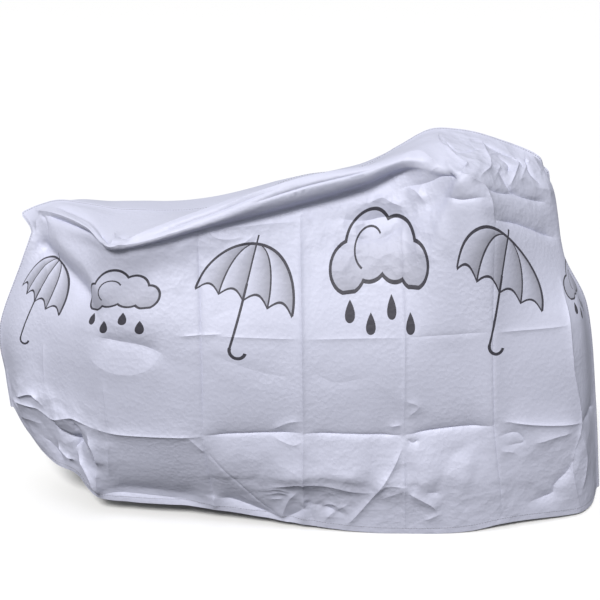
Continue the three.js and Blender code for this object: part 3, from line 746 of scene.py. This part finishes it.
def crumpledCells(scale, bend):
    bent = crinkleGroup.nodes.new("ShaderNodeVectorMath")
    bent.operation = "MULTIPLY_ADD"
    stray = noiseIn(crinkleGroup, place, scale * crumple["bendScale"], output="Color")
    crinkleGroup.links.new(stray, bent.inputs[0])
    bent.inputs[1].default_value = (bend, bend, bend)
    crinkleGroup.links.new(place, bent.inputs[2])
    cells = crinkleGroup.nodes.new("ShaderNodeTexVoronoi")
    cells.inputs["Scale"].default_value = scale
    crinkleGroup.links.new(bent.outputs["Vector"], cells.inputs["Vector"])
    return calc("MULTIPLY", cells.outputs["Distance"], 1 / scale)


coarse, fine, grain = (crumpledCells(*crumple[size]) for size in ("coarse", "fine", "grain"))
patches = spread(calc, noiseIn(crinkleGroup, place, *crumple["patchNoise"]))
amount = calc("MULTIPLY", source.outputs["Slack"], calc("MULTIPLY_ADD", patches, *crumple["slackInPatch"]))
height = calc("MULTIPLY", calc("ADD", coarse, fine), calc("MULTIPLY", amount, crumple["slackHeight"]))
height = calc("MULTIPLY_ADD", grain, calc("MULTIPLY_ADD", patches, *crumple["grainInPatch"]), height)
crinkleGroup.links.new(height, sink.inputs["Height"])
crinkleGroup.links.new(noiseIn(crinkleGroup, place, *crumple["toneNoise"]), sink.inputs["Tone"])

# printed band, in metres on the flat sheet
printBand = {
    "repeat": 0.6667,
    "middle": 0.64,
    "line": 0.0021,
    "inkColour": (0.05, 0.048, 0.065, 1),
    "greyColour": (0.2, 0.2, 0.24, 1),
    "greyShare": 0.75,
}
# place in the band and lean, then shares of the radius
umbrellaPrint = {
    "along": 0.19,
    "up": -0.005,
    "lean": -0.3,
    "radius": 0.125,
    "scallop": 0.16,
    "shaft": (-0.95, 0.3),
    "spike": 1.16,
    "hook": 0.16,
    "gores": 4,
    "weights": {"rim": 1.5, "hem": 1.3, "shaft": 1.5, "hook": 2},  # of the drawn lines
}
# place in the band and lean, then shares of the size
cloudPrint = {
    "along": 0.52,
    "up": 0.035,
    "lean": 0.0,
    "size": 0.12,
    "puffs": ((-0.62, 0.0, 0.36), (-0.18, 0.26, 0.5), (0.36, 0.14, 0.42), (0.74, -0.06, 0.3)),
    "base": -0.34,
    "swirl": (-0.2, 0.2, 0.3),
    "drops": ((-0.6, -0.78), (-0.18, -0.98), (0.26, -0.76), (0.66, -1.0)),  # foot of each
    "dropLong": 0.34,
    "dropWide": 0.26,
    "weight": 1.6,
    "fade": (-0.9, 0.45),  # of the grey, upwards, and its share in the middle
}
bandGroup, source, sink = newGroup(
    "printBand",
    [("Flat", "NodeSocketVector", None), ("Line", "NodeSocketFloat", printBand["line"])],
    [("Ink", "NodeSocketFloat"), ("Grey", "NodeSocketFloat")],
)
calc = calcFor(bandGroup)
split = bandGroup.nodes.new("ShaderNodeSeparateXYZ")
bandGroup.links.new(source.outputs["Flat"], split.inputs[0])
alongSheet = calc("MULTIPLY", split.outputs["X"], sheetCut["length"] * mm)
upSheet = calc("MULTIPLY", split.outputs["Y"], sheetCut["height"] * mm)


def anyOf(*values):
    return reduce(lambda a, b: calc("MAXIMUM", a, b), values)


def times(*values):
    return reduce(lambda a, b: calc("MULTIPLY", a, b), values)


def minus(a, b):
    return calc("SUBTRACT", a, b)


def less(a, b):
    return calc("LESS_THAN", a, b)


def stroke(distance, weight=1):  # a drawn line where the distance is nought
    return less(calc("ABSOLUTE", distance), times(source.outputs["Line"], weight))


def awayFrom(x, y, centreX=0, centreY=0):
    dx, dy = minus(x, centreX), minus(y, centreY)
    return calc("SQRT", calc("ADD", times(dx, dx), times(dy, dy)))


def motifPlace(motif):  # place in the motif's own turned frame
    half = printBand["repeat"] / 2
    x = calc("WRAP", minus(alongSheet, motif["along"]), half, -half)
    y = minus(upSheet, printBand["middle"] + motif["up"])
    c, s = math.cos(motif["lean"]), math.sin(motif["lean"])
    turnedX = calc("ADD", times(x, c), times(y, s))
    turnedY = minus(times(y, c), times(x, s))
    return turnedX, turnedY


def umbrella(x, y):
    radius, gores, weights = (umbrellaPrint[key] for key in ("radius", "gores", "weights"))
    foot, top = (share * radius for share in umbrellaPrint["shaft"])
    bend = umbrellaPrint["hook"] * radius
    away = awayFrom(x, y)
    chord = calc("SQRT", calc("MAXIMUM", minus(radius**2, times(y, y)), 1e-6))
    across = calc("DIVIDE", x, chord)
    scallops = calc("ABSOLUTE", calc("SINE", times(x, math.pi * gores / 2 / radius)))
    overHem = minus(y, times(scallops, umbrellaPrint["scallop"] * radius))
    inside = times(less(away, radius), less(0, overHem))
    ribs = times(inside, stroke(times(calc("PINGPONG", across, 1 / gores), chord)))
    rim = times(stroke(minus(away, radius), weights["rim"]), less(0, overHem))
    hemLine = times(stroke(overHem, weights["hem"]), less(away, radius))
    shaft = times(stroke(x, weights["shaft"]), less(y, top), less(foot, y))
    spike = times(stroke(x), less(radius, y), less(y, umbrellaPrint["spike"] * radius))
    hook = times(stroke(minus(awayFrom(x, y, bend, foot), bend), weights["hook"]), less(y, foot))
    grey = times(inside, calc("FRACT", times(calc("ADD", across, 1.0), gores / 2)))
    return anyOf(ribs, rim, hemLine, shaft, spike, hook), grey


def cloud(x, y):
    size, (fade, share) = cloudPrint["size"], cloudPrint["fade"]
    puffs = None
    for px, py, radius in cloudPrint["puffs"]:
        puff = minus(awayFrom(x, y, px * size, py * size), radius * size)
        puffs = puff if puffs is None else calc("MINIMUM", puffs, puff)
    puffs = calc("MAXIMUM", puffs, minus(cloudPrint["base"] * size, y))
    grey = times(less(puffs, 0), calc("MULTIPLY_ADD", y, fade / size, share, clamp=True))
    px, py, radius = cloudPrint["swirl"]
    swirl = stroke(minus(awayFrom(x, y, px * size, py * size), radius * size))
    swirl = times(swirl, less(minus(x, y), -radius * size))
    drops = []
    for px, py in cloudPrint["drops"]:
        t = calc("DIVIDE", minus(y, py * size), cloudPrint["dropLong"] * size, clamp=True)
        plump = times(calc("SQRT", t), minus(1.0, t))
        wide = times(plump, cloudPrint["dropWide"] * size)
        drops.append(less(calc("ABSOLUTE", minus(x, px * size)), wide))
    return anyOf(stroke(puffs, cloudPrint["weight"]), swirl, *drops), grey


umbrellaInk, umbrellaGrey = umbrella(*motifPlace(umbrellaPrint))
cloudInk, cloudGrey = cloud(*motifPlace(cloudPrint))
bandGroup.links.new(anyOf(umbrellaInk, cloudInk), sink.inputs["Ink"])
bandGroup.links.new(anyOf(umbrellaGrey, cloudGrey), sink.inputs["Grey"])

filmLook = {
    "colour": (0.6, 0.612, 0.75, 1),
    "shadeColour": (0.555, 0.57, 0.7, 1),  # slow change of tone over the sheet
    "insideColour": (0.46, 0.46, 0.52, 1),
    "insideShade": (0.391, 0.391, 0.442, 1),
    "roughness": (0.54, 0.66),
    "metallic": 0.1,
    "crinkle": 0.9,
    "crinkleDepth": 0.012,
}


def filmMaterial(name, printed):
    material, nodes, links, shader = newMaterial(name)
    tree = material.node_tree
    calc = calcFor(tree)
    coords = nodes.new("ShaderNodeTexCoord")
    crinkle = nodes.new("ShaderNodeGroup")
    crinkle.node_tree = crinkleGroup
    links.new(coords.outputs["Object"], crinkle.inputs["Vector"])
    slack = nodes.new("ShaderNodeAttribute")
    slack.attribute_name = "slack"
    links.new(slack.outputs["Fac"], crinkle.inputs["Slack"])
    tone = spread(calc, crinkle.outputs["Tone"])
    if printed:
        colour = mixColour(tree, tone, filmLook["shadeColour"], filmLook["colour"])
        flat = nodes.new("ShaderNodeUVMap")
        flat.uv_map = "flatSheet"
        band = nodes.new("ShaderNodeGroup")
        band.node_tree = bandGroup
        links.new(flat.outputs["UV"], band.inputs["Flat"])
        grey = calc("MULTIPLY", band.outputs["Grey"], printBand["greyShare"])
        colour = mixColour(tree, grey, colour, printBand["greyColour"])
        colour = mixColour(tree, band.outputs["Ink"], colour, printBand["inkColour"])
    else:
        colour = mixColour(tree, tone, filmLook["insideShade"], filmLook["insideColour"])
    links.new(colour, shader.inputs["Base Color"])
    low, high = filmLook["roughness"]
    links.new(calc("MULTIPLY_ADD", tone, low - high, high), shader.inputs["Roughness"])
    shader.inputs["Metallic"].default_value = filmLook["metallic"]
    bump = nodes.new("ShaderNodeBump")
    bump.inputs["Strength"].default_value = filmLook["crinkle"]
    bump.inputs["Distance"].default_value = filmLook["crinkleDepth"]
    links.new(crinkle.outputs["Height"], bump.inputs["Height"])
    links.new(bump.outputs["Normal"], shader.inputs["Normal"])
    return material


filmOutside = filmMaterial("filmOutside", True)
filmInside = filmMaterial("filmInside", False)
for sheet in (nearSheet, farSheet):
    sheet.data.materials.append(filmOutside)
    sheet.data.materials.append(filmInside)

# stitches along the seam edge and the hem; the thread's dark colour is partly its own and partly painted
# shade, a dark dotted line for the shaded seam edge
stitching = {
    "pitch": 0.0075,
    "length": 0.0052,
    "thick": 0.0011,
    "colour": (0.09, 0.09, 0.1, 1),
    "lightColour": (0.198, 0.198, 0.22, 1),
    "fuzzNoise": (900, 2, 0.5),
    "roughness": 0.75,
}
thread, nodes, links, shader = newMaterial("thread")
coords = nodes.new("ShaderNodeTexCoord")
fuzz = noiseIn(thread.node_tree, coords.outputs["Object"], *stitching["fuzzNoise"])
# thread colour: dark thread, darkened further as painted shade of the seam edge
threadColourAndSeamShade = mixColour(thread.node_tree, fuzz, stitching["colour"], stitching["lightColour"])
links.new(threadColourAndSeamShade, shader.inputs["Base Color"])
shader.inputs["Roughness"].default_value = stitching["roughness"]
print("materials made")

stitchTree = bpy.data.node_groups.new("stitchRun", "GeometryNodeTree")
for label, kind in (
    ("Path", "NodeSocketGeometry"),
    ("Pitch", "NodeSocketFloat"),
    ("Length", "NodeSocketFloat"),
    ("Thick", "NodeSocketFloat"),
    ("Thread", "NodeSocketMaterial"),
):
    stitchTree.interface.new_socket(label, in_out="INPUT", socket_type=kind)
stitchTree.interface.new_socket("Stitches", in_out="OUTPUT", socket_type="NodeSocketGeometry")
made = {}
for key, kind in (
    ("in", "NodeGroupInput"),
    ("curve", "GeometryNodeMeshToCurve"),
    ("points", "GeometryNodeCurveToPoints"),
    ("bead", "GeometryNodeMeshUVSphere"),
    ("size", "ShaderNodeCombineXYZ"),
    ("scaled", "GeometryNodeTransform"),
    ("place", "GeometryNodeInstanceOnPoints"),
    ("real", "GeometryNodeRealizeInstances"),
    ("paint", "GeometryNodeSetMaterial"),
    ("out", "NodeGroupOutput"),
):
    made[key] = stitchTree.nodes.new(kind)
made["points"].mode = "LENGTH"
made["bead"].inputs["Segments"].default_value = 6
made["bead"].inputs["Rings"].default_value = 4
made["bead"].inputs["Radius"].default_value = 0.5
for giver, output, taker, entry in (
    ("in", "Path", "curve", "Mesh"),
    ("curve", "Curve", "points", "Curve"),
    ("in", "Pitch", "points", "Length"),
    ("in", "Thick", "size", "X"),
    ("in", "Thick", "size", "Y"),
    ("in", "Length", "size", "Z"),
    ("bead", "Mesh", "scaled", "Geometry"),
    ("size", "Vector", "scaled", "Scale"),
    ("points", "Points", "place", "Points"),
    ("scaled", "Geometry", "place", "Instance"),
    ("points", "Rotation", "place", "Rotation"),
    ("place", "Instances", "real", "Geometry"),
    ("real", "Geometry", "paint", "Geometry"),
    ("in", "Thread", "paint", "Material"),
    ("paint", "Geometry", "out", "Stitches"),
):
    stitchTree.links.new(made[giver].outputs[output], made[taker].inputs[entry])


def stitchPiece(name, paths):
    points, edges = [], []
    for path in paths:
        edges += [(len(points) + k, len(points) + k + 1) for k in range(len(path) - 1)]
        points += path.tolist()
    guide = bpy.data.meshes.new(name + "Path")
    guide.from_pydata(points, edges, [])
    obj = bpy.data.objects.new(name, guide)
    bpy.context.scene.collection.objects.link(obj)
    run = obj.modifiers.new("stitchRun", "NODES")
    run.node_group = stitchTree
    sockets = {s.name: s.identifier for s in stitchTree.interface.items_tree if s.in_out == "INPUT"}
    for label in ("Pitch", "Length", "Thick"):
        run[sockets[label]] = stitching[label.lower()]
    run[sockets["Thread"]] = thread
    depsgraph = bpy.context.evaluated_depsgraph_get()
    mesh = bpy.data.meshes.new_from_object(obj.evaluated_get(depsgraph))
    obj.modifiers.remove(run)
    obj.data = mesh
    bpy.data.meshes.remove(guide)
    mesh.name = name
    mesh.polygons.foreach_set("use_smooth", np.ones(len(mesh.polygons), bool))
    return obj


nearStitches = stitchPiece("nearStitches", nearPaths)
farStitches = stitchPiece("farStitches", farPaths)
print("stitches made:", len(nearStitches.data.polygons), len(farStitches.data.polygons), "faces")

studio = {
    "cameraPlace": (-0.0147, -2.6854, 1.396),
    "cameraTilt": 17,  # degrees below level
    "lens": 60,
    "sensor": 36,
    "floorColour": (0.95, 0.95, 0.955, 1),
    "floorRoughness": 0.8,
    "floorHalf": 400,
    "backdrop": (0.98, 0.98, 0.985, 1),
    "sky": [(0.0, 0.05), (1.0, 0.34), (0.49, 0.1), (0.55, 0.56)],  # height in the sky and its level
    "skyColour": (0.97, 0.985, 1),
}
# soft is the angle of a sun in degrees, or the size of an area light in metres
lights = {
    "key": {"kind": "SUN", "power": 3.1, "soft": 20, "colour": (1, 0.99, 0.97),
            "place": (-0.6, -2.2, 2.8), "aim": (0, 0, 0.5)},
    "fill": {"kind": "AREA", "power": 4, "soft": 2.5, "colour": (0.92, 0.95, 1),
             "place": (3.2, -1.6, 2.2), "aim": (0.2, 0, 0.5)},
    "back": {"kind": "AREA", "power": 8, "soft": 2.5, "colour": (1, 1, 1),
             "place": (-1.8, 2.0, 2.2), "aim": (-0.4, 0.1, 0.85)},
}
scene = bpy.context.scene
cameraData = bpy.data.cameras.new("camera")
cameraData.lens = studio["lens"]
cameraData.sensor_width = studio["sensor"]
cameraData.sensor_fit = "HORIZONTAL"
camera = bpy.data.objects.new("camera", cameraData)
camera.location = studio["cameraPlace"]
camera.rotation_euler = (math.radians(90 - studio["cameraTilt"]), 0, 0)
scene.collection.objects.link(camera)
scene.camera = camera

half = studio["floorHalf"]
corners = [(-half, -half, 0), (half, -half, 0), (half, half, 0), (-half, half, 0)]
floorMesh = bpy.data.meshes.new("floor")
floorMesh.from_pydata(corners, [], [(0, 1, 2, 3)])
floor = bpy.data.objects.new("floor", floorMesh)
floor.visible_diffuse = floor.visible_glossy = False  # the paper throws no light back up
scene.collection.objects.link(floor)
floorLook, *_, shader = newMaterial("floorLook")
shader.inputs["Base Color"].default_value = studio["floorColour"]
shader.inputs["Roughness"].default_value = studio["floorRoughness"]
floorMesh.materials.append(floorLook)

world = bpy.data.worlds.new("studio")
world.use_nodes = True
tree = world.node_tree
coords = tree.nodes.new("ShaderNodeTexCoord")
split = tree.nodes.new("ShaderNodeSeparateXYZ")
tree.links.new(coords.outputs["Generated"], split.inputs[0])
ramp = tree.nodes.new("ShaderNodeValToRGB")
tree.links.new(calcFor(tree)("MULTIPLY_ADD", split.outputs["Z"], 0.5, 0.5), ramp.inputs["Fac"])
stops = ramp.color_ramp.elements
for k, (at, level) in enumerate(studio["sky"]):
    stop = stops[k] if k < 2 else stops.new(at)
    stop.position = at
    stop.color = [level * c for c in studio["skyColour"]] + [1]
seen = tree.nodes.new("ShaderNodeLightPath")
backdrop = mixColour(tree, seen.outputs["Is Camera Ray"], ramp.outputs["Color"], studio["backdrop"])
tree.links.new(backdrop, tree.nodes["Background"].inputs["Color"])
scene.world = world

for name, light in lights.items():
    lamp = bpy.data.lights.new(name, light["kind"])
    lamp.energy = light["power"]
    lamp.color = light["colour"]
    if light["kind"] == "SUN":
        lamp.angle = math.radians(light["soft"])
    else:
        lamp.size = light["soft"]
    obj = bpy.data.objects.new(name, lamp)
    obj.location = light["place"]
    way = np.array(light["aim"]) - np.array(light["place"])
    tilt, heading = math.acos(-way[2] / np.linalg.norm(way)), math.atan2(way[1], way[0]) - math.pi / 2
    obj.rotation_euler = (tilt, 0, heading)
    scene.collection.objects.link(obj)
scene.view_settings.view_transform = "Standard"
print("studio made")

panels = ((nearSheet, nearStitches, "near_panel"), (farSheet, farStitches, "far_panel"))
for sheet, stitches, node in panels:
    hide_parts(node)
    for piece in (sheet, stitches):
        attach(piece, "root")
